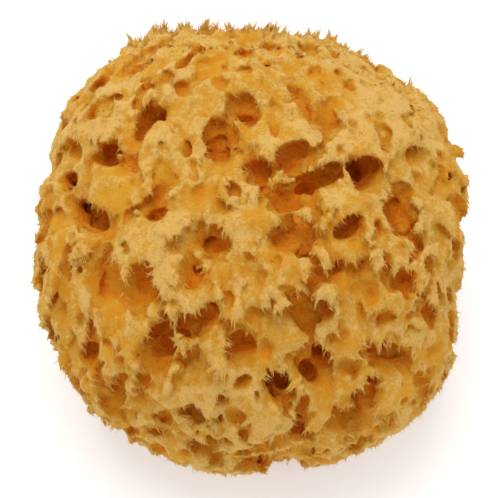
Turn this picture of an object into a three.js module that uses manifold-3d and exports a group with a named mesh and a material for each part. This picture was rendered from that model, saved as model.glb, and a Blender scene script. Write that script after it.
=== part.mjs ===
// A natural bath sponge, grown as one piece: a lumpy rounded body with a flat base where it was cut
// from the rock, and the mouths of its large canals, the oscules, as open blind pits.
// Millimetres, +Z up, +Y to the back. The origin is the middle of the flat base.
import * as THREE from "three";
import { mergeVertices } from "three/addons/utils/BufferGeometryUtils.js";
import Module from "manifold-3d";

// The body: half sizes about its middle, and how far that middle stands above the cut base.
const HALF_WIDTH = 65;
const HALF_DEPTH = 69;
const HALF_HEIGHT = 54;
const MIDDLE_HEIGHT = 41;
const SQUARENESS = 2.3; // 2 is an ellipsoid, and a higher power fills the corners out
const BODY_DETAIL = 13; // steps along each edge of the icosahedron that the body is shaped from

// The crown, the side that grew towards the light, faces up and forward at this height above level.
const CROWN_ELEVATION = 58;

// Broad swellings and dents, in crown axes: across, up the crown, out of the crown.
const LOBES = [
  { at: [-0.7, 0.68, 0.2], height: 5, spread: 28 },
  { at: [0.72, -0.72, 0.2], height: 4.6, spread: 24 },
  { at: [-0.7, -0.72, 0.2], height: 2.2, spread: 24 },
  { at: [0.95, 0.35, 0.1], height: 4.6, spread: 24 },
  { at: [-1, -0.05, 0.1], height: 1.2, spread: 24 },
  { at: [-0.98, -0.42, 0.1], height: -1.8, spread: 14 },
  { at: [-0.1, 1, 0.2], height: 2.4, spread: 22 },
  { at: [0.45, 0.9, 0.15], height: -2.4, spread: 20 },
  { at: [1, -0.07, 0.05], height: -4.2, spread: 11 },
  { at: [-1, 0.28, 0.1], height: -2.2, spread: 14 },
  { at: [-0.1, -1, 0.2], height: 1.4, spread: 26 },
  { at: [0.1, 0.15, 1], height: 1.5, spread: 30 },
  { at: [-0.35, -0.45, 0.8], height: 1.6, spread: 18 },
  { at: [0.45, 0.35, 0.8], height: -1.4, spread: 18 },
  { at: [0.3, 0.6, -0.7], height: 2.2, spread: 26 },
  { at: [-0.6, 0.3, -0.7], height: -1.6, spread: 22 },
];

// Smaller swellings all over, as crossed waves: how many run along each axis, and how high they stand.
const WAVES = [
  { along: [9, 4, -6], height: 0.7 },
  { along: [-5, 10, 5], height: 0.7 },
  { along: [4, -6, 11], height: 0.7 },
  { along: [15, 9, 7], height: 0.4 },
  { along: [-8, 15, -10], height: 0.4 },
];

// The main oscules on the crown: middle across and up it, width, length, turn in degrees and depth.
const CROWN_OSCULES = [
  [-30, 34, 5.5, 13, -12, 14],
  [-41, 24, 8, 6.5, -20, 15],
  [-46, 7, 14, 6.5, -27, 13],
  [-52, 16.5, 6, 4.5, -10, 12],
  [-26, 9.5, 7, 6, 0, 8],
  [-8, 29, 9, 10, 10, 8],
  [-2, 38.5, 6.5, 7, 20, 9],
  [-10.5, 1, 10, 8, -15, 9],
  [12, 24.5, 11, 7, 24, 11],
  [1.5, 18.5, 7, 6, 0, 13],
  [10, 12.5, 11, 7.5, 20, 10],
  [20.5, 18, 10, 5, 28, 14],
  [31.5, 19, 7.5, 11, -28, 18],
  [41, 9.5, 8.5, 11, -18, 13],
  [27, 3.5, 11, 5.5, 28, 11],
  [11, 0, 13, 6, 18, 10],
  [46.5, 0, 6.5, 4, 30, 11],
  [22.5, -9.5, 11, 4.5, 12, 13],
  [18, -19, 8.5, 6.5, -22, 11],
  [9, -42, 7, 8.5, 12, 17],
  [19.5, -35, 7.5, 7.5, 20, 15],
  [32.5, -42.5, 6, 6.5, 0, 17],
  [26, -51, 11, 5, -32, 14],
  [37, -34, 9, 4.5, -20, 12],
  [-26, -29.5, 10, 6, 14, 18],
  [-15, -23, 7, 5.5, -8, 13],
  [-38, -13, 3.5, 10.5, 6, 10],
  [-28.5, -10, 5, 8, -14, 10],
  [-37, -41, 4.5, 10.5, -28, 12],
  [-16.5, -48, 6.5, 8, 14, 16],
  [-15, -58.5, 6.5, 6.5, 0, 14],
  [12, -54, 6, 4.5, 25, 14],
  [-46, -34, 5, 5.5, -18, 10],
  [-2, -30, 8, 6, 0, 11],
];

// Round the back and sides the oscules are spread evenly, as grown, and vary in size.
const SPREAD_OSCULES = 84;
const SPREAD_WIDTH = { least: 4.5, most: 9.5 };
const SPREAD_LENGTH = { least: 5.5, most: 10.5 };
const SPREAD_DEPTH = { least: 8, most: 14 };
const CROWN_EDGE = 0.2; // how far out of the crown the spread ones stop, as a cosine
const LOWEST_OSCULE = 9; // the lowest middle of an oscule above the cut base

// The cut base shows canals too, in a spiral that leaves its middle whole.
const BASE_CANALS = 15;
const BASE_RADIUS = 41; // out to the last one
const BASE_SOLID_RADIUS = 7; // the middle that stays whole
const BASE_WIDTH = { least: 4.5, most: 8 };
const BASE_DEPTH = { least: 6, most: 11 };

const SEED = 20;
const HALF_TURN = 180; // degrees, as far as an oval can turn before it repeats

// A pit: radius against depth, as shares, from its floor to past its mouth.
const PIT_PROFILE = [
  [0, 1],
  [0.55, 0.93],
  [0.86, 0.5],
  [1.1, -0.1],
];
const PIT_SIDES = 8;
const PIT_TOP = 7; // how far a pit's cutter stands out of the body
const CROWN_LEAN = 0.35; // how far a crown pit leans from the body's middle towards the crown's own axis
const PIT_LEAN = 0.42; // the most that any pit leans sideways, as a tangent

const CUTTER = 300; // a block larger than the body
const MERGE_DISTANCE = 1e-4;
const HALVINGS = 30; // how often the search for the surface halves its span

const { degToRad } = THREE.MathUtils;
const crownAngle = degToRad(CROWN_ELEVATION);
const middle = new THREE.Vector3(0, 0, MIDDLE_HEIGHT);
const crownAcross = new THREE.Vector3(1, 0, 0);
const crownUp = new THREE.Vector3(0, Math.sin(crownAngle), Math.cos(crownAngle));
const crownOut = new THREE.Vector3(0, -Math.cos(crownAngle), Math.sin(crownAngle));
const crownFrame = new THREE.Matrix4().makeBasis(crownAcross, crownUp, crownOut);

const wasm = await Module();
wasm.setup();

const lobes = LOBES.map(({ at, height, spread }) => ({
  direction: new THREE.Vector3(...at).applyMatrix4(crownFrame).normalize(),
  height,
  sharpness: 1 / (1 - Math.cos(degToRad(spread))),
}));
const waves = WAVES.map(({ along, height }) => ({ along: new THREE.Vector3(...along), height }));

// How far the body reaches from its middle in a direction.
function reach(direction) {
  const sum =
    Math.abs(direction.x / HALF_WIDTH) ** SQUARENESS +
    Math.abs(direction.y / HALF_DEPTH) ** SQUARENESS +
    Math.abs(direction.z / HALF_HEIGHT) ** SQUARENESS;
  let radius = sum ** (-1 / SQUARENESS);
  for (const lobe of lobes) {
    const away = 1 - direction.dot(lobe.direction);
    radius += lobe.height * Math.exp(-away * lobe.sharpness);
  }
  for (const wave of waves) {
    radius += wave.height * Math.sin(direction.dot(wave.along));
  }
  return radius;
}

function onBody(direction) {
  return direction.clone().multiplyScalar(reach(direction)).add(middle);
}

// The point of the body's surface that lies straight out of the crown from a place across and up it.
function onCrown(across, up) {
  let near = 0;
  let far = 2 * HALF_DEPTH;
  const foot = middle.clone().addScaledVector(crownAcross, across).addScaledVector(crownUp, up);
  for (let step = 0; step < HALVINGS; step += 1) {
    const out = (near + far) / 2;
    const from = foot.clone().addScaledVector(crownOut, out).sub(middle);
    if (from.length() < reach(from.clone().normalize())) near = out;
    else far = out;
  }
  return foot.addScaledVector(crownOut, near);
}

// A three.js geometry as a manifold-3d solid, and back.
function solidOf(geometry) {
  const bare = geometry.clone();
  bare.deleteAttribute("normal");
  bare.deleteAttribute("uv");
  const merged = mergeVertices(bare, MERGE_DISTANCE);
  return new wasm.Manifold(
    new wasm.Mesh({
      numProp: 3,
      vertProperties: new Float32Array(merged.attributes.position.array),
      triVerts: new Uint32Array(merged.index.array),
    }),
  );
}

function geometryOf(solid) {
  const mesh = solid.getMesh();
  const geometry = new THREE.BufferGeometry();
  geometry.setAttribute("position", new THREE.BufferAttribute(mesh.vertProperties, 3));
  geometry.setIndex(new THREE.BufferAttribute(mesh.triVerts, 1));
  geometry.computeVertexNormals();
  return geometry;
}

// The grown body, with its flat cut base at height 0.
function bodySolid() {
  const ball = new THREE.IcosahedronGeometry(1, BODY_DETAIL);
  const position = ball.attributes.position;
  const point = new THREE.Vector3();
  for (let i = 0; i < position.count; i += 1) {
    point.fromBufferAttribute(position, i).normalize();
    point.copy(onBody(point));
    position.setXYZ(i, point.x, point.y, point.z);
  }
  const block = new THREE.BoxGeometry(CUTTER, CUTTER, CUTTER).translate(0, 0, -CUTTER / 2);
  return solidOf(ball).subtract(solidOf(block));
}

// A small repeatable random number source.
let randomState = SEED;
function random() {
  randomState = (randomState * 1664525 + 1013904223) % 4294967296;
  return randomState / 4294967296;
}

function between({ least, most }) {
  return least + (most - least) * random();
}

// One pit's cutter, with its mouth at a point of the body and its axis out of the body, a little aslant.
function pitSolid({ mouth, outward, side, width, length, turn, depth }) {
  const across = side.clone().addScaledVector(outward, -side.dot(outward)).normalize();
  const along = new THREE.Vector3().crossVectors(outward, across);
  const lean = new THREE.Vector2((2 * random() - 1) * PIT_LEAN, (2 * random() - 1) * PIT_LEAN);
  const points = PIT_PROFILE.map(([radius, down]) => new THREE.Vector2(radius, -down * depth));
  points.push(new THREE.Vector2(PIT_PROFILE.at(-1)[0], PIT_TOP), new THREE.Vector2(0, PIT_TOP));
  const cutter = new THREE.LatheGeometry(points, PIT_SIDES);
  cutter.rotateX(Math.PI / 2); // the lathe's axis, Y, becomes Z
  cutter.scale(width / 2, length / 2, 1);
  cutter.rotateZ(degToRad(turn));
  const axis = outward.clone().addScaledVector(across, lean.x).addScaledVector(along, lean.y);
  const frame = new THREE.Matrix4().makeBasis(across, along, axis).setPosition(mouth);
  return solidOf(cutter.applyMatrix4(frame));
}

function crownPits() {
  return CROWN_OSCULES.map(([across, up, width, length, turn, depth]) => {
    const mouth = onCrown(across, up);
    const outward = mouth.clone().sub(middle).normalize().lerp(crownOut, CROWN_LEAN).normalize();
    return pitSolid({ mouth, outward, side: crownAcross, width, length, turn, depth });
  });
}

const goldenAngle = Math.PI * (3 - Math.sqrt(5));

function spreadPits() {
  const pits = [];
  for (let i = 0; i < SPREAD_OSCULES; i += 1) {
    const height = 1 - (2 * i + 1) / SPREAD_OSCULES;
    const level = Math.sqrt(1 - height * height);
    const round = i * goldenAngle;
    const outward = new THREE.Vector3(level * Math.cos(round), level * Math.sin(round), height);
    const mouth = onBody(outward);
    if (outward.dot(crownOut) > CROWN_EDGE || mouth.z < LOWEST_OSCULE) continue;
    const side = new THREE.Vector3(-outward.y, outward.x, 0);
    const width = between(SPREAD_WIDTH);
    const length = between(SPREAD_LENGTH);
    const turn = HALF_TURN * random();
    const depth = between(SPREAD_DEPTH);
    pits.push(pitSolid({ mouth, outward, side, width, length, turn, depth }));
  }
  return pits;
}

function basePits() {
  const outward = new THREE.Vector3(0, 0, -1);
  const pits = [];
  for (let i = 0; i < BASE_CANALS; i += 1) {
    const share = Math.sqrt((i + 0.5) / BASE_CANALS);
    const radius = BASE_SOLID_RADIUS + (BASE_RADIUS - BASE_SOLID_RADIUS) * share;
    const round = i * goldenAngle;
    const mouth = new THREE.Vector3(radius * Math.cos(round), radius * Math.sin(round), 0);
    const width = between(BASE_WIDTH);
    const length = between(BASE_WIDTH);
    const turn = HALF_TURN * random();
    const depth = between(BASE_DEPTH);
    pits.push(pitSolid({ mouth, outward, side: crownAcross, width, length, turn, depth }));
  }
  return pits;
}

const pits = [...crownPits(), ...spreadPits(), ...basePits()];
const sponge = bodySolid().subtract(wasm.Manifold.union(pits));

const matFibre = new THREE.MeshStandardMaterial({ color: 0xd9a653, roughness: 0.95, metalness: 0 });
const mesh = new THREE.Mesh(geometryOf(sponge), matFibre);
mesh.name = "sponge";

const group = new THREE.Group();
group.add(mesh);

export default group;
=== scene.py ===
"""A natural bath sponge: its felted, porous body and the fibre tufts on it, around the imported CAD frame."""

import math

import bpy
import numpy as np
import openvdb as vdb
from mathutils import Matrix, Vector


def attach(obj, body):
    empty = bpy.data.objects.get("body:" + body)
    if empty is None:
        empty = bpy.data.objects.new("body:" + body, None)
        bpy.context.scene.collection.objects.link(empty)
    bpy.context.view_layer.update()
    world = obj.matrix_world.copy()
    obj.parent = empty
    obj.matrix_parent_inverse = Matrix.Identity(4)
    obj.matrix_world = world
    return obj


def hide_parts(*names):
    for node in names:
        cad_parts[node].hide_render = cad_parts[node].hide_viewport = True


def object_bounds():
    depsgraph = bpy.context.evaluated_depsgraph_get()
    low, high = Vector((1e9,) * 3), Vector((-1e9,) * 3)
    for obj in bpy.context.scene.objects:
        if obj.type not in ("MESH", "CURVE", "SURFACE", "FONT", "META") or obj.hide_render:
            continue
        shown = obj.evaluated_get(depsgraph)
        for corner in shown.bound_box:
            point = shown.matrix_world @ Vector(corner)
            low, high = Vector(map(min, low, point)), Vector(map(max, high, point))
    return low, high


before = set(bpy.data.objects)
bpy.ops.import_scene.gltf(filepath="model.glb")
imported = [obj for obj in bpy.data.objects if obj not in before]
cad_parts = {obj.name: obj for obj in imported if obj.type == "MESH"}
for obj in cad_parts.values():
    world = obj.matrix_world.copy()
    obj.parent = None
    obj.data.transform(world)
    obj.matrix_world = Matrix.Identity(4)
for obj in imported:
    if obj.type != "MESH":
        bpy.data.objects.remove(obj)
cad_low, cad_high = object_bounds()
cad_middle = (np.array(cad_low) + np.array(cad_high)) / 2

MM = 0.001
NODE = "sponge"
SEED = 7

# The crown grew towards the light. Its axes: across it, up it, and out of it.
CROWN_ELEVATION = math.radians(58)
ACROSS = np.array([1.0, 0.0, 0.0])
UP = np.array([0.0, math.sin(CROWN_ELEVATION), math.cos(CROWN_ELEVATION)])
OUT = np.array([0.0, -math.cos(CROWN_ELEVATION), math.sin(CROWN_ELEVATION)])

# The block of voxels that the body is carved in.
VOXEL = 0.55 * MM
MARGIN = 8 * MM  # of empty voxels round the frame
INSIDE_BAND = 24 * MM  # how far inside the frame the distance to it is worked out
MOUTHS_CLOSED = 8 * MM  # the half width of the widest mouth that the envelope closes over
BODY_TRIANGLES = 190000

# Swellings and sharp folds of the felt, from broad to fine: how far apart, and how high.
SWELLINGS = ((15 * MM, 1.5 * MM), (7.5 * MM, 0.9 * MM), (3.8 * MM, 0.7 * MM), (2 * MM, 0.38 * MM))
FOLDS = ((8 * MM, 1.2 * MM), (4 * MM, 0.8 * MM))

# The grain of the felt and of the canals' walls: how far apart, and how strong.
ROUGHNESS = ((2.4 * MM, 0.6), (5 * MM, 0.5))
ROUGH_HEIGHT = 0.7  # in millimetres
SOFTENING = (0.9 * MM, 0.6 * MM)  # how far the frame's facets are blurred first, in two goes
TRIM = 0.4 * MM  # how far the felt lies inside the frame, so that its tufts reach no further out
CREST = 64.7 * MM  # how far up the crown its felt reaches
CREST_ROUNDING = 2 * MM

# Hollows between the tufts of the felt, of uneven outline: how far apart, the level of the noise that
# they start at, how fast they sink past it, and how deep they get.
HOLLOWS = (
    (5.6 * MM, 0.5, 7 * MM, 3.2 * MM),
    (3 * MM, 0.1, 6 * MM, 3.2 * MM),
    (1.9 * MM, 0.15, 2.6 * MM, 1.3 * MM),
)
HOLLOWS_REACH = 9 * MM  # how far under the envelope they are worked out
HOLLOWS_LATER = 0.2  # how much higher a level they start at, where they are few
MOUTH_RIM = 1.2 * MM  # how wide a rim round the frame's own mouths they are few on
MOUTH_SHARE = 0.6  # how much of their depth they lose there
STRETCH = 1.6  # how much longer they are up the crown than across it
LEAN = 0.9  # how far they run up the crown, under the rim, for each measure they go in

# Canals of three sizes: spacing, least and most radius, and least and most depth.
CANALS = (
    (13 * MM, 1.8 * MM, 3.0 * MM, 4 * MM, 9 * MM),
    (8.5 * MM, 1.2 * MM, 2.0 * MM, 3.5 * MM, 8 * MM),
    (5.2 * MM, 0.5 * MM, 1.1 * MM, 1.5 * MM, 4.5 * MM),
)
SHALLOW = 0.35  # the share of canals that are mere dimples, fewer where the felt faces down the crown
DIMPLE = (0.5, 0.9)  # least and most depth of a dimple, for its radius
CREST_CANALS_LEFT_OUT = 0.75  # the share of canals left out where the felt faces up the crown
OVERHANG = 1.1  # how far the canals of the crown run up it, under the rim, as they go in
RIM = 0.35 * MM  # how far a canal's rim is rounded

# A pore's parts, least and most, for its radius.
RAMP_LENGTH, RAMP_WIDTH = (1.3, 2.4), (0.9, 1.3)
RAMP_PLACE, RAMP_DEPTH, RAMP_ROUNDING = 1.1, 0.9, 0.8
BESIDE_SIZE, BESIDE_PLACE, BESIDE_RISE = (0.4, 0.75), (0.7, 1.2), (-0.2, 0.9)
OVAL = (1, 1.9)

# The crown's main mouths, where the frame has them, measured from a point inside the sponge: middle
# across and up the crown, width, length, turn and depth, in millimetres and degrees.
MOUTHS_MIDDLE = np.array([0.0, 0.0, 41 * MM])
MOUTHS = (
    (-30, 34, 5.5, 13, -12, 12),
    (-41, 24, 9, 7, -20, 11),
    (-46, 7, 15, 7, -27, 10),
    (-52, 16.5, 6, 4.5, -10, 9),
    (-26, 9.5, 7, 6, 0, 6),
    (-8, 29, 10, 11, 10, 6),
    (-2, 38.5, 6.5, 7, 20, 7),
    (-10.5, 1, 10, 8, -15, 6),
    (12, 24.5, 11, 7, 24, 8),
    (1.5, 18.5, 7, 6, 0, 10),
    (10, 12.5, 12, 8, 20, 7),
    (20.5, 18, 10, 5, 28, 10),
    (31.5, 19, 9, 12, -28, 14),
    (41, 9.5, 10, 12, -18, 9),
    (27, 3.5, 11, 5.5, 28, 8),
    (11, 0, 13, 6, 18, 8),
    (46.5, 0, 6.5, 4, 30, 8),
    (22.5, -9.5, 11, 4.5, 12, 9),
    (18, -19, 8.5, 6.5, -22, 8),
    (9, -42, 7, 8.5, 12, 13),
    (19.5, -35, 7.5, 7.5, 20, 11),
    (32.5, -42.5, 6, 6.5, 0, 13),
    (26, -51, 11, 5, -32, 10),
    (37, -34, 9, 4.5, -20, 9),
    (-26, -29.5, 10, 6, 14, 13),
    (-15, -23, 7, 5.5, -8, 9),
    (-38, -13, 3.5, 10.5, 6, 8),
    (-28.5, -10, 5, 8, -14, 8),
    (-37, -41, 4.5, 10.5, -28, 9),
    (-16.5, -48, 6.5, 8, 14, 12),
    (-15, -58.5, 6.5, 6.5, 0, 10),
    (12, -54, 6, 4.5, 25, 10),
    (-46, -34, 5, 5.5, -18, 8),
    (-2, -30, 8, 6, 0, 8),
)
MOUTH_FIT = 0.46  # a mouth's radius for its width
MOUTH_START = 1.5  # how far out of the felt its cut starts, in millimetres
MOUTH_SEARCH = np.arange(90, 0, -0.25) * MM  # where the skin is looked for, from outside in
PORE_UNEVEN, MOUTH_UNEVEN = 0.9, 0.5  # how uneven the walls are, for the narrowest radius

SKY_DIRECTIONS, SKY_STEPS, SKY_STEP = 48, 12, 1 * MM  # for how much of the sky a point of the felt sees

# The seeds of the noises, each with room for those that follow it.
SWELLING_NOISE, FOLD_NOISE, ROUGH_NOISE, HOLLOW_NOISE, VIGOUR_NOISE = 0, 20, 40, 60, 80


class Block:
    """A box of voxels round the frame, and the sums done on a value in each."""

    def __init__(self, low, high, step):
        self.step = step
        self.first = np.floor((np.array(low) - MARGIN) / step).astype(int)
        last = np.ceil((np.array(high) + MARGIN) / step).astype(int)
        self.shape = tuple(last - self.first + 1)
        self.origin = self.first * step
        self.transform = vdb.createLinearTransform(voxelSize=step)

    def heights(self):
        return (self.first[2] + np.arange(self.shape[2], dtype=np.float32)) * self.step

    def distance_to(self, points, triangles, quads, inside, outside):
        """The signed distance to a closed surface, negative inside, out to a band's width each way."""
        grid = vdb.FloatGrid.createLevelSetFromPolygons(
            points.astype(np.float32),
            triangles=triangles.astype(np.uint32),
            quads=quads.astype(np.uint32),
            transform=self.transform,
            exBandWidth=outside / self.step,
            inBandWidth=inside / self.step,
        )
        values = np.empty(self.shape, np.float32)
        grid.copyToArray(values, ijk=tuple(int(i) for i in self.first))
        return values

    def surface(self, values, level=0.0):
        grid = vdb.FloatGrid(float(values.max()))
        grid.transform = self.transform
        grid.copyFromArray(np.ascontiguousarray(values), ijk=tuple(int(i) for i in self.first))
        points, triangles, quads = grid.convertToPolygons(isovalue=level, adaptivity=0.1)
        return points.astype(np.float64), triangles.astype(np.int64), quads.astype(np.int64)

    def noise(self, spacing, seed):
        """Smooth random values, most of them between -1 and 1, that change over the spacing."""
        weights = [self.spline_weights(number, spacing) for number in range(3)]
        random = np.random.default_rng([SEED, seed])
        values = random.uniform(-1, 1, [w.shape[1] for w in weights]).astype(np.float32)
        for weight in weights:
            values = np.tensordot(values, weight, axes=(0, 1))
        return values * 2.4

    def spline_weights(self, number, spacing):
        """How much each random value counts at each voxel along one axis, as a cubic B-spline."""
        place = np.arange(self.shape[number]) * self.step / spacing
        cell = np.floor(place).astype(int)
        t = place - cell
        shares = ((1 - t) ** 3, 3 * t**3 - 6 * t**2 + 4, -3 * t**3 + 3 * t**2 + 3 * t + 1, t**3)
        weights = np.zeros((len(place), cell[-1] + 4), np.float32)
        for offset, share in enumerate(shares):
            weights[np.arange(len(place)), cell + offset] = share / 6
        return weights

    def blurred(self, values, radius):
        """The mean over a cube of about that half width."""
        reach = max(1, round(radius / self.step))
        width = 2 * reach + 1
        for number in range(3):
            values = np.moveaxis(values, number, 0)
            padded = np.concatenate([values[:1].repeat(reach + 1, 0), values, values[-1:].repeat(reach, 0)])
            total = np.cumsum(padded, 0, dtype=np.float64)
            values = ((total[width:] - total[:-width]) / width).astype(np.float32)
            values = np.moveaxis(values, 0, number)
        return values

    def sample(self, values, points):
        """The values at points, in a straight line between voxels. Each voxel may hold several."""
        place = np.clip((points - self.origin) / self.step, 0, np.array(self.shape) - 1.001)
        cell = place.astype(int)
        t = place - cell
        found = np.zeros((len(points), *values.shape[3:]))
        for corner in np.ndindex(2, 2, 2):
            share = np.prod(np.where(corner, t, 1 - t), axis=1)
            x, y, z = (cell + corner).T
            found += (share * values[x, y, z].T).T
        return found

    def slope(self, values, points):
        """The direction in which the values grow fastest at points."""
        steps = np.eye(3) * self.step * 1.5
        grown = [self.sample(values, points + step) - self.sample(values, points - step) for step in steps]
        grown = np.stack(grown, 1)
        return grown / np.maximum(np.linalg.norm(grown, axis=1, keepdims=True), 1e-9)

    def near(self, centre, radius):
        """The part of the block round a point: its slices, and its voxels' places from the point."""
        low = np.maximum(np.floor((centre - radius) / self.step).astype(int) - self.first, 0)
        high = np.ceil((centre + radius) / self.step).astype(int) - self.first + 1
        high = np.minimum(high, self.shape)
        if (high <= low).any():
            return None, None
        slices = tuple(slice(a, b) for a, b in zip(low, high))
        places = [(np.arange(a, b) + f) * self.step - c for a, b, f, c in zip(low, high, self.first, centre)]
        return slices, np.meshgrid(*places, indexing="ij", sparse=True)


def unit(vector):
    return vector / np.linalg.norm(vector)


def larger(a, b, blend):
    """The larger of two distances, rounded where they meet."""
    overlap = np.maximum(blend - np.abs(a - b), 0)
    return np.maximum(a, b) + overlap * overlap / (4 * blend)


def along(places, direction):
    return places[0] * direction[0] + places[1] * direction[1] + places[2] * direction[2]


def carve_canal(body, rough, mouth, down, side, radii, depth, blend, uneven=PORE_UNEVEN):
    """Cuts an oval blind canal from its mouth down, with an uneven wall."""
    side = unit(side - side.dot(down) * down)
    other = np.cross(down, side)
    widest, narrowest = max(radii), min(radii)
    slices, places = block.near(mouth + down * depth / 2, depth / 2 + 1.5 * widest + blend)
    if slices is None:
        return
    u, v, w = along(places, side), along(places, other), along(places, down) + depth / 2
    w = w - np.clip(w, -widest, depth - widest)
    away = np.sqrt((u / radii[0]) ** 2 + (v / radii[1]) ** 2 + (w / widest) ** 2) * narrowest - narrowest
    away = away + rough[slices] * narrowest * uneven
    body[slices] = larger(body[slices], -away, blend)


def lower_crest(body):
    """Flattens the top of the crown, to leave room for the fringe that stands on it."""
    first = block.shape[1] // 2
    back = (block.first[1] + np.arange(first, block.shape[1], dtype=np.float32)) * block.step
    rise = back[:, None] * UP[1] + (block.heights() - MOUTHS_MIDDLE[2]) * UP[2]
    body[:, first:] = larger(body[:, first:], (rise - CREST).astype(np.float32)[None], CREST_ROUNDING)


def sink_hollows(body, frame_distance, envelope):
    """Sinks uneven hollows, with a rim above and a ramp below, and fewer beside the frame's own mouths."""
    mouths = ((frame_distance > 0.3 * MM) & (envelope < -0.8 * MM)).astype(np.float32)
    mouths = block.blurred(block.blurred(mouths, MOUTH_RIM), MOUTH_RIM / 2)
    near = (body > -HOLLOWS_REACH) & (body < 2 * MM) & (envelope > -HOLLOWS_REACH)
    cells = np.stack(np.nonzero(near), 1)
    places = (cells + block.first) * block.step
    depth = np.clip(-envelope[near], 0, HOLLOWS_REACH)
    away = places - cad_middle
    away /= np.linalg.norm(away, axis=1, keepdims=True)
    crown = np.clip(away @ OUT * 2 + 0.4, 0, 1)
    few = np.clip(1.25 - 0.7 * (away @ UP), 0.6, 1) * (1 - MOUTH_SHARE * np.clip(mouths[near] * 4, 0, 1))
    places -= (LEAN * depth * crown + places @ UP * (1 - 1 / STRETCH))[:, None] * UP
    noises = [block.noise(hollow[0], HOLLOW_NOISE + number) for number, hollow in enumerate(HOLLOWS)]
    found = block.sample(np.stack(noises, -1), places).T
    body[near] += sum(
        np.clip((values - level - HOLLOWS_LATER * (1 - few)) * steepness, 0, deepest * few)
        for values, (_, level, steepness, deepest) in zip(found, HOLLOWS)
    )


def carve_pore(body, rough, mouth, normal, radius, depth, random):
    """Cuts one pore: a canal that runs up under its rim, two smaller ones beside it, and a ramp below it."""
    crown = np.clip(normal.dot(OUT) * 2 - 0.2, 0, 1)
    fall = unit(normal.dot(UP) * normal - UP + random.normal(0, 0.35, 3))
    fall = unit(fall - fall.dot(normal) * normal)
    across = np.cross(normal, fall)
    ramp = (radius * random.uniform(*RAMP_LENGTH), radius * random.uniform(*RAMP_WIDTH))
    foot = mouth + fall * radius * RAMP_PLACE
    carve_canal(body, rough, foot, -normal, fall, ramp, radius * RAMP_DEPTH, radius * RAMP_ROUNDING)
    for part in range(3):
        size = radius * (random.uniform(*BESIDE_SIZE) if part else 1)
        aside = random.uniform(*BESIDE_PLACE) * (-1, 1)[part - 1] * radius if part else 0
        place = mouth + across * aside - fall * random.uniform(*BESIDE_RISE) * (radius if part else 0)
        down = unit(-normal + random.normal(0, 0.25, 3) + OVERHANG * UP * crown)
        radii = (size, size * random.uniform(*OVAL))
        side = across + random.normal(0, 0.6, 3)
        carve_canal(body, rough, place, down, side, radii, depth * size / radius, RIM)


def carve_mouths(body, rough, envelope):
    """Opens the crown's main mouths where the frame has them, each of them running up under its rim."""
    for across, up, width, length, turn, depth in MOUTHS:
        line = MOUTHS_MIDDLE + (ACROSS * across + UP * up) * MM + MOUTH_SEARCH[:, None] * OUT
        place = line[np.argmax(block.sample(envelope, line) < 0)]
        turn = math.radians(turn)
        side = ACROSS * math.cos(turn) + UP * math.sin(turn)
        low = np.clip(-up / 40, 0, 1)
        down = unit((0.3 + 0.4 * low) * UP - OUT - 0.4 * unit(place - MOUTHS_MIDDLE))
        depth *= 1 + 0.3 * low
        radii = (width * MOUTH_FIT * MM, length * MOUTH_FIT * MM)
        start = place + OUT * MOUTH_START * MM
        carve_canal(body, rough, start, down, side, radii, (depth + MOUTH_START) * MM, RIM, MOUTH_UNEVEN)


def add_conule(body, foot, direction, radius, length):
    """Adds a pointed tuft of felt that stands on the surface."""
    slices, places = block.near(foot + direction * length / 2, length / 2 + radius + CONULE_ROUNDING)
    if slices is None:
        return
    w = along(places, direction) + length / 2
    square = places[0] ** 2 + places[1] ** 2 + places[2] ** 2
    aside = np.sqrt(np.maximum(square - (w - length / 2) ** 2, 0))
    share = np.clip(w / length, -0.3, 1)
    past = np.maximum(np.maximum(w - length, -w - radius), 0)
    cone = np.sqrt(aside**2 + past**2) - radius * (1 - share)
    body[slices] = -larger(-body[slices], -cone, CONULE_ROUNDING)


def node_arrays(name):
    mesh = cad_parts[name].data
    points = np.empty(len(mesh.vertices) * 3, np.float32)
    mesh.vertices.foreach_get("co", points)
    mesh.calc_loop_triangles()
    triangles = np.empty(len(mesh.loop_triangles) * 3, np.int32)
    mesh.loop_triangles.foreach_get("vertices", triangles)
    return points.reshape(-1, 3), triangles.reshape(-1, 3)


def spread(points, spacing, random):
    """The numbers of points drawn at random from a list, none nearer another than the spacing."""
    order = random.permutation(len(points))
    cells = {}
    chosen = []
    keys = np.floor(points / spacing).astype(int)
    offsets = [(i, j, k) for i in (-1, 0, 1) for j in (-1, 0, 1) for k in (-1, 0, 1)]
    for number in order:
        x, y, z = keys[number]
        point = points[number]
        if all(
            (point - points[other]).dot(point - points[other]) >= spacing * spacing
            for i, j, k in offsets
            for other in cells.get((x + i, y + j, z + k), ())
        ):
            cells.setdefault((x, y, z), []).append(number)
            chosen.append(number)
    return np.array(chosen)


def piece_labels(count, edges):
    """A number for each vertex that is the same all over each connected piece."""
    label = np.arange(count)
    while True:
        first, second = label[edges[:, 0]], label[edges[:, 1]]
        apart = first != second
        if not apart.any():
            return label
        first, second = first[apart], second[apart]
        np.minimum.at(label, np.maximum(first, second), np.minimum(first, second))
        while (label[label] != label).any():
            label = label[label]


def largest_piece(points, triangles, quads):
    """Only the largest of the pieces that don't touch, which leaves the crumbs out."""
    sides = [triangles[:, [0, 1]], triangles[:, [1, 2]]]
    sides += [quads[:, [corner, corner + 1]] for corner in range(3)]
    label = piece_labels(len(points), np.concatenate(sides))
    names, counts = np.unique(label, return_counts=True)
    kept = label == names[counts.argmax()]
    renumber = np.cumsum(kept) - 1
    triangles = renumber[triangles[kept[triangles[:, 0]]]] if len(triangles) else triangles
    quads = renumber[quads[kept[quads[:, 0]]]]
    return points[kept], triangles, quads


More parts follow.
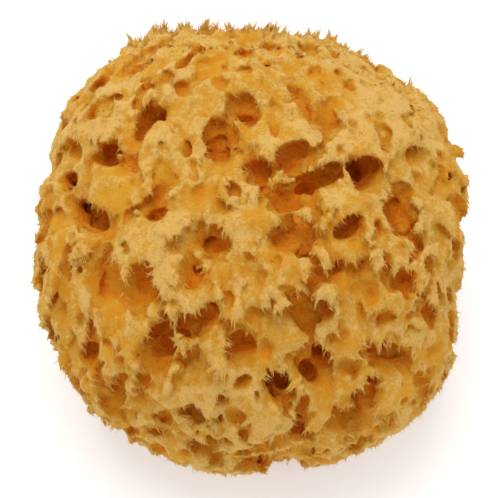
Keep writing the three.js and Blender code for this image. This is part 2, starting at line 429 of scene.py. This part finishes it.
def mesh_of(name, points, triangles, quads):
    mesh = bpy.data.meshes.new(name)
    mesh.vertices.add(len(points))
    mesh.vertices.foreach_set("co", points.astype(np.float32).ravel())
    corners = np.concatenate([triangles.ravel(), quads.ravel()]).astype(np.int32)
    mesh.loops.add(len(corners))
    mesh.loops.foreach_set("vertex_index", corners)
    sizes = np.concatenate([np.full(len(triangles), 3), np.full(len(quads), 4)])
    mesh.polygons.add(len(sizes))
    mesh.polygons.foreach_set("loop_start", (np.cumsum(sizes) - sizes).astype(np.int32))
    mesh.update(calc_edges=True)
    return mesh


def new_object(name, mesh):
    made = bpy.data.objects.new(name, mesh)
    bpy.context.scene.collection.objects.link(made)
    return made


def evaluated(source, name):
    """A plain mesh of an object with its modifiers done."""
    graph = bpy.context.evaluated_depsgraph_get()
    mesh = bpy.data.meshes.new_from_object(source.evaluated_get(graph))
    mesh.name = name
    return mesh


def above_ground(mesh):
    """Lifts what lies under the ground onto it, and returns the vertices' places."""
    places = np.empty(len(mesh.vertices) * 3, np.float32)
    mesh.vertices.foreach_get("co", places)
    places[2::3] = np.maximum(places[2::3], 0)
    mesh.vertices.foreach_set("co", places)
    return places.reshape(-1, 3).astype(np.float64)


def set_attribute(mesh, name, values):
    made = mesh.attributes.new(name, "FLOAT", "POINT")
    made.data.foreach_set("value", values.astype(np.float32))


def set_vector_attribute(mesh, name, values):
    made = mesh.attributes.new(name, "FLOAT_VECTOR", "POINT")
    made.data.foreach_set("vector", values.astype(np.float32).ravel())


# ---------------------------------------------------------------- camera

LENS, SENSOR = 85, 36
VIEW_WIDTH = 153 * MM  # what the view takes in, at the middle of the sponge
AIM_ACROSS = -1.0 * MM
AIM_UP = -5.9 * MM


def add_camera():
    middle = cad_middle + ACROSS * AIM_ACROSS + UP * AIM_UP
    camera = bpy.data.objects.new("camera", bpy.data.cameras.new("camera"))
    camera.data.lens = LENS
    camera.data.sensor_width = SENSOR
    camera.location = middle + OUT * VIEW_WIDTH * LENS / SENSOR
    camera.rotation_euler = (math.pi / 2 - CROWN_ELEVATION, 0, 0)
    bpy.context.scene.collection.objects.link(camera)
    bpy.context.scene.camera = camera


# ---------------------------------------------------------------- the body

block = Block(cad_low, cad_high, VOXEL)


def cut_flat(body):
    """The body without what lies under the ground, which leaves the flat cut that it rests on."""
    return np.maximum(body, -block.heights()[None, None, :])


def fields():
    """The distance to the frame's own surface, and to its envelope, which closes over the canals."""
    points, triangles = node_arrays(NODE)
    no_quads = np.empty((0, 4), np.uint32)
    frame_distance = block.distance_to(points, triangles, no_quads, INSIDE_BAND, MOUTHS_CLOSED * 1.3)
    swollen = block.surface(frame_distance, MOUTHS_CLOSED)
    swollen = largest_piece(*swollen)
    envelope = block.distance_to(*swollen, INSIDE_BAND + MOUTHS_CLOSED, MARGIN) + MOUTHS_CLOSED
    return frame_distance, envelope


def grow_body():
    """The distance to the felt's surface, the envelope's, and the envelope's points and their normals."""
    random = np.random.default_rng([SEED, 1])
    frame_distance, envelope = fields()
    rough = sum(
        block.noise(spacing, ROUGH_NOISE + number) * strength
        for number, (spacing, strength) in enumerate(ROUGHNESS)
    )
    body = frame_distance
    for radius in SOFTENING:
        body = block.blurred(body, radius)
    body += rough * ROUGH_HEIGHT * MM + TRIM
    for number, (spacing, height) in enumerate(SWELLINGS):
        body += block.noise(spacing, SWELLING_NOISE + number) * height
    for number, (spacing, height) in enumerate(FOLDS):
        body += (np.abs(block.noise(spacing, FOLD_NOISE + number)) - 0.45) * height

    lower_crest(body)
    sink_hollows(body, frame_distance, envelope)
    carve_mouths(body, rough, envelope)

    outer, _, _ = largest_piece(*block.surface(envelope))
    outer = outer[outer[:, 2] > 1 * MM]
    outward = block.slope(envelope, outer)
    for spacing, least, most, shallow, deep in CANALS:
        for number in spread(outer, spacing, random):
            normal = outward[number]
            if random.random() < CREST_CANALS_LEFT_OUT * np.clip(normal.dot(UP) * 2, 0, 1):
                continue
            low = np.clip(-normal.dot(UP) * 2.5, 0, 1)
            radius = random.uniform(least, most) * (1 + 0.25 * low)
            depth = random.uniform(shallow, deep)
            if random.random() < SHALLOW * (1 - 0.8 * low):
                depth = radius * random.uniform(*DIMPLE)
            carve_pore(body, rough, outer[number] + normal * radius * 0.4, normal, radius, depth, random)
    return cut_flat(body), envelope, outer, outward


# Where tufts stand: how far apart, how much of the cube round a point is felt on a rim or a ridge, and
# how far under the envelope they still grow.
OUTLINE_SPACING, RIM_SPACING, WISP_SPACING, CLUMP_SPACING = 2.5 * MM, 1.1 * MM, 1.15 * MM, 7 * MM
RIM_SHARE, RIDGE_SHARE = 0.37, 0.42
RIM_CUBE, WISP_CUBE, RIDGE_CUBE = 1.5 * MM, 1.2 * MM, 1.3 * MM  # half the cube's width
RIM_DEPTH, WISP_DEPTH = 4.5 * MM, 4 * MM

# The sizes of the tufts, in millimetres, least and most where there are two.
SHORT_TUFT, LONG_TUFT, RIM_TUFT, WISP = (0.4, 1.2), (1, 7), (1.0, 4.8), (0.8, 3.0)
LONG_CUT, CUT = (0.4, 1), (0.5, 1)  # the share of its length that is left of a tuft
WISP_GIRTH = (0.22, 0.4)
GIRTH_SPREAD = (0.8, 1.2)
OUTLINE_ROOT, RIM_ROOT, WISP_ROOT, CONULE_ROOT = 0.6, 0.5, 0.3, 1.2  # how far the foot is in the felt
CLUMP_TUFTS = (1, 4.4)
CLUMP_SCATTER = 0.8
CONULE_ROUNDING = 0.4 * MM


def tuft_table():
    return {"foot": [], "direction": [], "length": [], "girth": []}


def put_tuft(table, foot, direction, length, girth):
    for name, value in zip(table, (foot, direction, length, girth)):
        table[name].append(value)


def halves(table):
    """The tufts as two tables, each with every other one."""
    return [{name: values[first::2] for name, values in table.items()} for first in (0, 1)]


def outline_tufts(body, outer, outward, random):
    """Standing tufts: long ones in clumps over the top and the back, short ones round the trimmed sides."""
    table = tuft_table()
    chosen = spread(outer, OUTLINE_SPACING, random)
    over = block.sample(body, outer[chosen])
    clumps = block.sample(block.noise(CLUMP_SPACING, VIGOUR_NOISE), outer[chosen])
    vigour = np.clip(0.7 + clumps, 0.15, 1.3)
    for number, height, grown_by in zip(chosen, over, vigour):
        normal = outward[number]
        long = np.clip(normal.dot(UP) * 1.8 - 0.75, 0, 1) * grown_by
        long *= np.clip(3.1 - 5 * abs(normal.dot(ACROSS) + 0.06), 0.15, 1)
        crown = np.clip(normal.dot(OUT) * 2.5 - 0.35, 0, 1)
        too_low = height > (0.7 + 4 * long) * MM or outer[number][2] < 2 * MM
        if too_low or random.random() < 0.3 + 0.7 * crown - long:
            continue
        way = unit(normal + random.normal(0, 0.25, 3) + (UP * 0.5 + ACROSS * 0.15) * long)
        for _ in range(1 + int(long * random.uniform(*CLUMP_TUFTS))):
            short = random.uniform(*SHORT_TUFT)
            length = (short + long * random.uniform(*LONG_CUT) * random.uniform(*LONG_TUFT)) * MM
            girth = (0.4 + 0.1 * length / MM) * random.uniform(*GIRTH_SPREAD) * MM
            direction = unit(way + random.normal(0, 0.2, 3))
            foot = outer[number] - normal * (height + OUTLINE_ROOT * MM)
            foot = foot + random.normal(0, CLUMP_SCATTER, 3) * MM * long
            put_tuft(table, foot, direction, length + OUTLINE_ROOT * MM, girth)
            add_conule(body, foot - direction * girth, direction, girth * 1.8, length * 0.55 + girth)
    return table


def solid_share(body, radius):
    """How much of the cube round each voxel is felt: half on a flat, and less on a ridge."""
    return block.blurred((body < 0).astype(np.float32), radius)


def rim_tufts(body, envelope, random):
    """Fringes that hang from the upper rims of the canals over their mouths."""
    table = tuft_table()
    points, _, _ = block.surface(body)
    solid = solid_share(body, RIM_CUBE)
    sharp = block.sample(solid, points) < RIM_SHARE
    depth = -block.sample(envelope, points)
    points = points[sharp & (depth < RIM_DEPTH) & (points[:, 2] > 1.5 * MM)]
    away = -block.slope(solid, points)
    normal = block.slope(envelope, points)
    rise = (away * normal).sum(1, keepdims=True)
    direction = away - 0.8 * rise * normal
    beside = block.sample(body, points + direction * 2 * MM - normal * 2.5 * MM)
    hangs = direction @ UP < random.uniform(-0.35, 0.35, len(points))
    hangs &= (beside > 0.4 * MM) & (normal @ UP < 0.6)
    low = np.clip(0.75 - (points - MOUTHS_MIDDLE) @ UP / (40 * MM), 0.35, 0.85)
    hangs &= random.random(len(points)) < low + 0.1
    points, direction, normal, low = points[hangs], direction[hangs], normal[hangs], low[hangs]
    chosen = spread(points, RIM_SPACING, random)
    points, direction = points[chosen], direction[chosen]
    reach = np.clip(0.35 + 1.2 * normal[chosen] @ OUT, 0.35, 1) * low[chosen]
    direction = direction - 0.35 * UP + random.normal(0, 0.14, direction.shape)
    direction /= np.linalg.norm(direction, axis=1, keepdims=True)
    for point, way, share in zip(points, direction, reach):
        length = random.uniform(*CUT) * random.uniform(*RIM_TUFT) * share * MM
        girth = (0.26 + 0.09 * length / MM) * random.uniform(*GIRTH_SPREAD) * MM
        put_tuft(table, point - way * RIM_ROOT * MM, way, length + RIM_ROOT * MM, girth)
        foot = point - way * CONULE_ROOT * MM
        add_conule(body, foot, way, girth * 1.5, length * 0.85 + CONULE_ROOT * MM)
    return table


def matted_tufts(body, envelope, random):
    """Thin wisps on every ridge of the felt, combed down the crown."""
    table = tuft_table()
    points, _, _ = block.surface(body)
    solid = solid_share(body, WISP_CUBE)
    ridge = (block.sample(solid, points) < RIDGE_SHARE) & (block.sample(envelope, points) > -WISP_DEPTH)
    points = points[ridge & (points[:, 2] > 2 * MM)]
    points = points[spread(points, WISP_SPACING, random)]
    away, normal = -block.slope(solid, points), block.slope(envelope, points)
    fall = (normal @ UP)[:, None] * normal - UP
    direction = fall + 0.5 * away + 0.25 * normal + random.normal(0, 0.35, points.shape)
    direction /= np.linalg.norm(direction, axis=1, keepdims=True)
    for point, way in zip(points, direction):
        length = random.uniform(*CUT) * random.uniform(*WISP) * MM
        girth = random.uniform(*WISP_GIRTH) * MM
        put_tuft(table, point - way * WISP_ROOT * MM, way, length + WISP_ROOT * MM, girth)
    return table


def sphere_directions(count):
    """Directions spread evenly over a sphere."""
    z = 1 - (2 * np.arange(count) + 1) / count
    turn = np.arange(count) * math.pi * (3 - math.sqrt(5))
    wide = np.sqrt(1 - z * z)
    return np.stack([wide * np.cos(turn), wide * np.sin(turn), z], 1)


def hidden_share(body, points, outward):
    """How much of the sky over each point the sponge itself hides, from 0 to 1."""
    inside = body < 0
    last = np.array(block.shape) - 1
    hidden, total = np.zeros(len(points)), np.zeros(len(points))
    for direction in sphere_directions(SKY_DIRECTIONS):
        facing = outward @ direction
        seen = np.flatnonzero(facing > 0.05)
        blocked = np.zeros(len(seen), bool)
        start = (points[seen] + outward[seen] * SKY_STEP - block.origin) / block.step
        for reach in range(1, SKY_STEPS + 1):
            cell = np.rint(start + direction * reach * SKY_STEP / block.step).astype(int)
            x, y, z = np.clip(cell, 0, last).T
            blocked |= inside[x, y, z]
        hidden[seen] += facing[seen] * blocked
        total[seen] += facing[seen]
    return hidden / np.maximum(total, 1e-9)


def body_mesh(body):
    points, triangles, quads = largest_piece(*block.surface(body))
    mesh = mesh_of("carved", points, triangles, quads)
    carved = new_object("carved", mesh)
    count = len(triangles) + 2 * len(quads)
    if count > BODY_TRIANGLES:
        thin = carved.modifiers.new("thin", "DECIMATE")
        thin.ratio = BODY_TRIANGLES / count
    mesh = evaluated(carved, "sponge_body")
    bpy.data.objects.remove(carved)
    return mesh


class Value:
    """A number, colour or vector in a node tree. Arithmetic on it adds Math nodes."""

    def __init__(self, nodes, socket):
        self.nodes = nodes
        self.socket = socket

    def maths(self, operation, *values, clamp=False):
        values = dict(enumerate(values))
        return self.nodes.add("ShaderNodeMath", {"operation": operation, "use_clamp": clamp}, values)

    def __add__(self, other):
        return self.maths("ADD", self, other)

    def __sub__(self, other):
        return self.maths("SUBTRACT", self, other)

    def __rsub__(self, other):
        return self.maths("SUBTRACT", other, self)

    def __mul__(self, other):
        return self.maths("MULTIPLY", self, other)

    __radd__ = __add__
    __rmul__ = __mul__

    def clamped(self):
        return self.maths("ADD", self, 0, clamp=True)

    def between(self, low, high):
        """0 below low, 1 above high, and an even rise between."""
        return self.maths("MULTIPLY_ADD", self, 1 / (high - low), -low / (high - low), clamp=True)


class Nodes:
    """A node tree being built."""

    def __init__(self, tree):
        self.tree = tree

    def add(self, kind, settings=None, values=None, output=0):
        node = self.tree.nodes.new(kind)
        for name, setting in (settings or {}).items():
            if name == "stops":
                self.set_stops(node.color_ramp, setting)
            else:
                setattr(node, name, setting)
        for name, value in (values or {}).items():
            if isinstance(value, Value):
                self.tree.links.new(value.socket, node.inputs[name])
            else:
                node.inputs[name].default_value = value
        return Value(self, node.outputs[output])

    def set_stops(self, ramp, stops):
        while len(ramp.elements) > 1:
            ramp.elements.remove(ramp.elements[-1])
        for number, (place, colour) in enumerate(stops):
            element = ramp.elements[0] if number == 0 else ramp.elements.new(place)
            element.position = place
            element.color = (*colour, 1)

    def mix(self, share, first, second):
        return self.add("ShaderNodeMix", {"data_type": "RGBA"}, {0: share, 6: first, 7: second}, output=2)

    def attribute(self, name):
        return self.add("ShaderNodeAttribute", {"attribute_name": name}, output="Fac")


def linear(red, green, blue):
    """An sRGB colour out of 255 as linear light."""
    shares = (value / 255 for value in (red, green, blue))
    return tuple(s / 12.92 if s <= 0.04045 else ((s + 0.055) / 1.055) ** 2.4 for s in shares)


# Colours of the felt's painted shade ramp, from the pale ridges to the deep orange of the canals' painted
# shade and glow.
PALE = linear(221, 177, 97)
BUFF = linear(211, 160, 68)
STRAW = linear(209, 148, 43)
GOLDEN = linear(206, 136, 31)
AMBER = linear(217, 135, 25)
DEEP_CANAL_SHADE = linear(227, 126, 17)
SUNLIT = linear(226, 160, 45)
# The painted shade of the pinholes and of the speckles in the hollows.
PINHOLE_SHADE = linear(150, 80, 16)

# The felt's colours by painted shade and mottle, from the ridges, paler as partly a painted highlight, to the
# canals, deep orange as painted shade and glow.
FELT_SHADE_STOPS = ((0.0, PALE), (0.14, BUFF), (0.3, STRAW), (0.48, GOLDEN), (0.7, AMBER), (1.0, DEEP_CANAL_SHADE))


def sponge_shader(name):
    """A new material that is plain and dull, its nodes, its shader and the place on the object."""
    material = bpy.data.materials.new(name)
    material.use_nodes = True
    nodes = Nodes(material.node_tree)
    shader = material.node_tree.nodes["Principled BSDF"]
    shader.inputs["Roughness"].default_value = 0.95
    shader.inputs["Specular IOR Level"].default_value = 0.1
    shader.inputs["Subsurface Weight"].default_value = 0.3
    shader.inputs["Subsurface Radius"].default_value = (1.0, 0.45, 0.15)
    shader.inputs["Subsurface Scale"].default_value = 1.2 * MM
    return material, nodes, shader, nodes.add("ShaderNodeTexCoord", output="Object")


# The felt's noises: scale, detail and roughness.
PATCHES, BLOTCHES = (38, 2, 0.55), (140, 3, 0.55)
MOTTLE, GRAIN, SPECKS = (520, 4, 0.7), (1700, 3, 0.7), (850, 3, 0.65)
CELLS = 300  # the scale of the pinholes
BUMP_STRENGTH, BUMP_HEIGHT = 0.65, 1.5 * MM


def felt_material():
    material, nodes, shader, places = sponge_shader("sponge felt")

    def noise(scale, detail, roughness):
        values = {"Vector": places, "Scale": scale, "Detail": detail, "Roughness": roughness}
        return nodes.add("ShaderNodeTexNoise", values=values) - 0.5

    shade, depth, ridge = nodes.attribute("shade"), nodes.attribute("depth"), nodes.attribute("ridge")
    kinds = (PATCHES, BLOTCHES, MOTTLE, GRAIN, SPECKS)
    patches, blotches, mottle, grain, specks = (noise(*kind) for kind in kinds)
    # Painted shade: more amber the more sky the sponge hides and the deeper a place lies under the envelope,
    # and paler on ridges, partly bleached fibre and partly a painted highlight; random mottle is added on
    # top.
    painted_shade_and_mottle = shade * 0.95 + depth * 0.03 - ridge * 0.28 + 0.07
    painted_shade_and_mottle = painted_shade_and_mottle + patches * 0.7 + blotches * 1.0 + mottle * 0.9 + grain * 0.6
    colour = nodes.add("ShaderNodeValToRGB", {"stops": FELT_SHADE_STOPS}, {"Fac": painted_shade_and_mottle.clamped()})
    warm = (patches + blotches * 0.5).between(0.0, 0.2) * painted_shade_and_mottle.between(-0.1, 0.3)
    colour = nodes.mix(warm * 0.4, colour, (*SUNLIT, 1))
    # Painted pinholes: small dark dots of painted shade for holes too small to carve.
    cells = nodes.add("ShaderNodeTexVoronoi", values={"Vector": places, "Scale": CELLS})
    pinhole_shade_mask = cells.between(0.17, 0.08) * mottle.between(0.0, 0.07)
    colour = nodes.mix(pinhole_shade_mask * 0.55, colour, (*PINHOLE_SHADE, 1))
    # Brown speckles in the hollows, stronger where the sky is hidden: partly painted shade.
    speckles = specks.between(0.02, 0.14) * shade.between(0.1, 0.45)
    colour = nodes.mix(speckles * 0.42, colour, (*PINHOLE_SHADE, 1))
    height = grain * 0.4 + mottle * 1.1 + blotches * 1.2
    values = {"Height": height, "Strength": BUMP_STRENGTH, "Distance": BUMP_HEIGHT}
    bump = nodes.add("ShaderNodeBump", values=values)
    nodes.tree.links.new(colour.socket, shader.inputs["Base Color"])
    nodes.tree.links.new(bump.socket, shader.inputs["Normal"])
    return material


def fibre_material():
    material, nodes, shader, places = sponge_shader("sponge fibre")
    patches = nodes.add("ShaderNodeTexNoise", values={"Vector": places, "Scale": 260, "Detail": 2}) - 0.5
    tip, shade = nodes.attribute("tip"), nodes.attribute("shade")
    # Painted shade on the strands, from how much sky is hidden round them, with random patches.
    painted_shade_and_mottle = shade * 0.9 + patches * 0.7 + 0.14
    colour = nodes.add("ShaderNodeValToRGB", {"stops": FELT_SHADE_STOPS}, {"Fac": painted_shade_and_mottle.clamped()})
    # Paler tips only where the sky is open over them: partly pale fibre ends, partly a painted highlight.
    colour = nodes.mix(tip * (1 - shade) * 0.45, colour, (*PALE, 1))
    nodes.tree.links.new(colour.socket, shader.inputs["Base Color"])
    return material


# ---------------------------------------------------------------- tufts and down

TUFT_SHAPES = 6  # how many kinds of tuft there are, each bent its own way
TUFT_BEND, TUFT_BEND_TURN = 2.2, 0.4  # how far a tip bends aside, for its girth, and the turn between kinds


class Growth(Nodes):
    """A Geometry Nodes tree with named inputs, and the nodes that strands are made with."""

    def __init__(self, name, inputs):
        super().__init__(bpy.data.node_groups.new(name, "GeometryNodeTree"))
        interface = self.tree.interface
        interface.new_socket("Geometry", in_out="INPUT", socket_type="NodeSocketGeometry")
        interface.new_socket("Geometry", in_out="OUTPUT", socket_type="NodeSocketGeometry")
        self.identifiers = {}
        for label, kind in inputs.items():
            socket = interface.new_socket(label, in_out="INPUT", socket_type=kind)
            self.identifiers[label] = socket.identifier
        self.entry = self.tree.nodes.new("NodeGroupInput")
        self.exit = self.tree.nodes.new("NodeGroupOutput")

    def input(self, label):
        return Value(self, self.entry.outputs[label])

    def finish(self, geometry):
        """Ends the tree: plain geometry, in its material."""
        whole = self.add("GeometryNodeRealizeInstances", values={"Geometry": geometry})
        values = {"Geometry": whole, "Material": self.input("Material")}
        made = self.add("GeometryNodeSetMaterial", values=values)
        self.tree.links.new(made.socket, self.exit.inputs[0])

    def vector(self, operation, *values):
        return self.add("ShaderNodeVectorMath", {"operation": operation}, dict(enumerate(values)))

    def joined(self, x, y, z):
        return self.add("ShaderNodeCombineXYZ", values={"X": x, "Y": y, "Z": z})

    def scaled(self, vector, scale):
        return self.add("ShaderNodeVectorMath", {"operation": "SCALE"}, {0: vector, "Scale": scale})

    def random(self, low, high, seed):
        values = {2: low, 3: high, 8: seed}
        return self.add("FunctionNodeRandomValue", {"data_type": "FLOAT"}, values, output=1)

    def random_vector(self, low, high, seed):
        values = {0: low, 1: high, 8: seed}
        return self.add("FunctionNodeRandomValue", {"data_type": "FLOAT_VECTOR"}, values)

    def named(self, name, kind="FLOAT"):
        return self.add("GeometryNodeInputNamedAttribute", {"data_type": kind}, {"Name": name})

    def facing(self, direction, turn):
        """The rotation that stands a strand along a direction, after a turn about its own length."""
        start = self.add("FunctionNodeEulerToRotation", values={"Euler": self.joined(0, 0, turn)})
        values = {"Rotation": start, "Vector": direction}
        return self.add("FunctionNodeAlignRotationToVector", {"axis": "Z"}, values)

    def strand(self, sides, segments):
        """A pointed strand of unit length and unit radius that stands on the origin."""
        values = {"Vertices": sides, "Side Segments": segments, "Radius Top": 0.06}
        cone = self.add("GeometryNodeMeshCone", values={**values, "Radius Bottom": 1, "Depth": 1})
        return self.add("GeometryNodeSetShadeSmooth", values={"Geometry": cone, "Shade Smooth": False})

    def bent(self, geometry, gather, bend):
        """Draws strands together towards their tips and bends them aside, and marks how near the tip."""
        place = self.add("GeometryNodeInputPosition")
        z = self.add("ShaderNodeSeparateXYZ", values={"Vector": place}, output="Z")
        marked = self.add(
            "GeometryNodeStoreNamedAttribute",
            {"data_type": "FLOAT", "domain": "POINT"},
            {"Geometry": geometry, "Name": "tip", "Value": z},
        )
        narrow = 1 - z * gather
        aside = self.joined(bend[0], bend[1], 0)
        moved = self.vector("MULTIPLY", place, self.joined(narrow, narrow, 1))
        moved = self.vector("ADD", moved, self.scaled(aside, z * z))
        return self.add("GeometryNodeSetPosition", values={"Geometry": marked, "Position": moved})


def tuft_growth():
    """A tuft of strands at each point, along the point's direction."""
    inputs = {
        "Strands": "NodeSocketInt",
        "Strand Radius": "NodeSocketFloat",
        "Gather": "NodeSocketFloat",
        "Seed": "NodeSocketInt",
        "Material": "NodeSocketMaterial",
    }
    tree = Growth("sponge tufts", inputs)
    shapes = tree.tree.nodes.new("GeometryNodeGeometryToInstance")
    seed = tree.input("Seed")
    for number in range(TUFT_SHAPES):
        own = seed + 10 * number
        feet = tree.random_vector((-0.8, -0.8, 0), (0.8, 0.8, 0), own)
        roots = tree.add("GeometryNodePoints", values={"Count": tree.input("Strands"), "Position": feet})
        radius = tree.input("Strand Radius") * tree.random(0.7, 1.3, own + 1)
        size = tree.joined(radius, radius, tree.random(0.45, 1.0, own + 2))
        lean = tree.random_vector((-0.1, -0.1, 0), (0.1, 0.1, 6.3), own + 3)
        strands = tree.add(
            "GeometryNodeInstanceOnPoints",
            values={"Points": roots, "Instance": tree.strand(3, 2), "Rotation": lean, "Scale": size},
        )
        strands = tree.add("GeometryNodeRealizeInstances", values={"Geometry": strands})
        angle = (number - TUFT_SHAPES / 2) * TUFT_BEND_TURN
        bend = (TUFT_BEND * math.cos(angle), TUFT_BEND * math.sin(angle))
        shape = tree.bent(strands, tree.input("Gather"), bend)
        tree.tree.links.new(shape.socket, shapes.inputs[0])
    turn = tree.random(-0.8, 0.8, seed + 5)
    direction = tree.named("direction", "FLOAT_VECTOR")
    facing = tree.facing(direction, turn)
    girth, length = tree.named("girth"), tree.named("length")
    tufts = tree.add(
        "GeometryNodeInstanceOnPoints",
        values={
            "Points": tree.input("Geometry"),
            "Instance": Value(tree, shapes.outputs[0]),
            "Pick Instance": True,
            "Rotation": facing,
            "Scale": tree.joined(girth, girth, length),
        },
    )
    tree.finish(tufts)
    return tree


def down_growth():
    """Short curled fibres that lie over the felt, thick where the cover attribute is high."""
    inputs = {
        "Density": "NodeSocketFloat",
        "Length": "NodeSocketFloat",
        "Radius": "NodeSocketFloat",
        "Lift": "NodeSocketFloat",
        "Seed": "NodeSocketInt",
        "Material": "NodeSocketMaterial",
    }
    tree = Growth("sponge down", inputs)
    seed = tree.input("Seed")
    scatter = tree.add(
        "GeometryNodeDistributePointsOnFaces",
        values={
            "Mesh": tree.input("Geometry"),
            "Density": tree.input("Density") * tree.named("cover"),
            "Seed": seed,
        },
    )
    normal = Value(tree, scatter.socket.node.outputs["Normal"])
    flat = tree.random_vector((-1, -1, -1), (1, 1, 1), seed + 1)
    direction = tree.vector("ADD", flat, tree.scaled(normal, tree.input("Lift")))
    facing = tree.facing(direction, tree.random(0, 2 * math.pi, seed + 2))
    radius = tree.input("Radius") * tree.random(0.6, 1.2, seed + 3)
    size = tree.joined(radius, radius, tree.input("Length") * tree.random(0.5, 1.3, seed + 4))
    strand = tree.bent(tree.strand(3, 2), 0.3, (7, 0))
    fibres = tree.add(
        "GeometryNodeInstanceOnPoints",
        values={"Points": scatter, "Instance": strand, "Rotation": facing, "Scale": size},
    )
    tree.finish(fibres)
    return tree


def grown(name, base, tree, settings):
    """A piece of its own: what the tree grows on a base mesh, as a plain mesh."""
    source = new_object("base", base)
    growth = source.modifiers.new("growth", "NODES")
    growth.node_group = tree.tree
    for label, value in settings.items():
        growth[tree.identifiers[label]] = value
    mesh = evaluated(source, name)
    bpy.data.objects.remove(source)
    for extra in ("direction", "girth", "length", "cover", "depth", "ridge"):
        if extra in mesh.attributes:
            mesh.attributes.remove(mesh.attributes[extra])
    above_ground(mesh)
    return new_object(name, mesh)


def tuft_points(table, body, envelope):
    foot, direction, length, girth = (np.array(values) for values in table.values())
    middle = foot + direction * length[:, None] * 0.6
    no_faces = np.empty((0, 3), int), np.empty((0, 4), int)
    mesh = mesh_of("tuft roots", foot, *no_faces)
    set_vector_attribute(mesh, "direction", direction)
    set_attribute(mesh, "length", length)
    set_attribute(mesh, "girth", girth)
    # How much sky is hidden round each tuft, for the strands' painted shade.
    set_attribute(mesh, "shade", hidden_share(body, middle, block.slope(envelope, middle)))
    return mesh


# ---------------------------------------------------------------- the studio

SKY_STRENGTH = 0.8
KEY_DIRECTION = OUT * 0.8 + UP * 0.75 - ACROSS * 0.1
KEY_AIM = np.array([0, 0, 0.04])
KEY_DISTANCE, KEY_SIZE, KEY_POWER = 0.9, 0.6, 3.6  # in metres and watts
FLOOR_REACH = 3.0  # from the middle, in metres
FLOOR_GLOW = 0.4  # the light that a wide studio throws back on it


def add_sky():
    world = bpy.data.worlds.new("studio")
    bpy.context.scene.world = world
    world.use_nodes = True
    background = world.node_tree.nodes["Background"]
    background.inputs["Color"].default_value = (1, 1, 1, 1)
    background.inputs["Strength"].default_value = SKY_STRENGTH
    bpy.context.scene.view_settings.view_transform = "Standard"


def add_key_light():
    light = bpy.data.lights.new("key", "AREA")
    light.shape = "DISK"
    light.size = KEY_SIZE
    light.energy = KEY_POWER
    lamp = bpy.data.objects.new("key", light)
    direction = unit(KEY_DIRECTION)
    lamp.location = KEY_AIM + direction * KEY_DISTANCE
    lamp.rotation_euler = Vector(-direction).to_track_quat("-Z", "Y").to_euler()
    bpy.context.scene.collection.objects.link(lamp)


def add_floor():
    corners = np.array([(-1, -1, 0), (1, -1, 0), (1, 1, 0), (-1, 1, 0)]) * FLOOR_REACH
    floor = new_object("floor", mesh_of("floor", corners, np.empty((0, 3), int), np.array([[0, 1, 2, 3]])))
    material = bpy.data.materials.new("pale floor")
    material.use_nodes = True
    shader = material.node_tree.nodes["Principled BSDF"]
    shader.inputs["Base Color"].default_value = (0.72, 0.72, 0.72, 1)
    shader.inputs["Roughness"].default_value = 0.9
    shader.inputs["Emission Color"].default_value = (1, 1, 1, 1)
    shader.inputs["Emission Strength"].default_value = FLOOR_GLOW
    floor.data.materials.append(material)


# ---------------------------------------------------------------- the sponge

DOWN_DENSITY = 0.25e6  # fibres to the square metre, where the cover is whole
DOWN_LENGTH, DOWN_RADIUS = 0.9 * MM, 0.06 * MM
DOWN_LIFT = 1.3  # how far the fibres stand off the felt, for how far they lie along it
DOWN_SEED = 91


def mark_body(mesh, body, envelope):
    """Sets the body on the ground, and marks on it how deep and how hidden each place is."""
    places = above_ground(mesh)
    depth = -block.sample(envelope, places) / MM
    # The hidden share and the depth drive the felt's painted shade, and ridge its paler edges, partly a
    # painted highlight.
    shade = hidden_share(body, places, block.slope(body, places))
    set_attribute(mesh, "depth", depth)
    set_attribute(mesh, "shade", shade)
    set_attribute(mesh, "ridge", 1 - 2 * block.sample(solid_share(body, RIDGE_CUBE), places))
    set_attribute(mesh, "cover", np.clip(1.3 - shade * 2.2, 0.02, 1) * (places[:, 2] > 1 * MM))
    mesh.polygons.foreach_set("use_smooth", np.ones(len(mesh.polygons), bool))


def grow_sponge():
    """Every piece of the sponge, the body first."""
    body, envelope, outer, outward = grow_body()
    random = np.random.default_rng([SEED, 2])
    hanging = rim_tufts(body, envelope, random)
    standing = outline_tufts(body, outer, outward, random)
    matted = matted_tufts(body, envelope, random)
    body = cut_flat(body)
    mesh = body_mesh(body)
    mark_body(mesh, body, envelope)

    fibre = fibre_material()
    tufts, down = tuft_growth(), down_growth()
    pieces = []
    wisps = halves(matted)
    # The strands in a tuft, their radius for its girth, how far they gather at the tip, and the seed.
    for name, table, strands, radius, gather, seed in (
        ("sponge_tufts", standing, 6, 0.42, 0.45, 3),
        ("sponge_rim_tufts", hanging, 3, 0.6, 0.3, 53),
        ("sponge_wisps_1", wisps[0], 2, 0.4, 0.3, 151),
        ("sponge_wisps_2", wisps[1], 2, 0.4, 0.3, 203),
    ):
        points = tuft_points(table, body, envelope)
        settings = {"Strands": strands, "Strand Radius": radius, "Gather": gather, "Seed": seed}
        pieces.append(grown(name, points, tufts, {**settings, "Material": fibre}))
    settings = {"Density": DOWN_DENSITY, "Length": DOWN_LENGTH, "Radius": DOWN_RADIUS, "Lift": DOWN_LIFT}
    settings = {**settings, "Seed": DOWN_SEED, "Material": fibre}
    pieces.append(grown("sponge_down_1", mesh.copy(), down, settings))

    mesh.attributes.remove(mesh.attributes["cover"])
    mesh.materials.append(felt_material())
    return [new_object("sponge_body", mesh), *pieces]


add_camera()
add_sky()
add_key_light()
add_floor()
pieces = grow_sponge()
for piece in pieces:
    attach(piece, "root")
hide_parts(NODE)
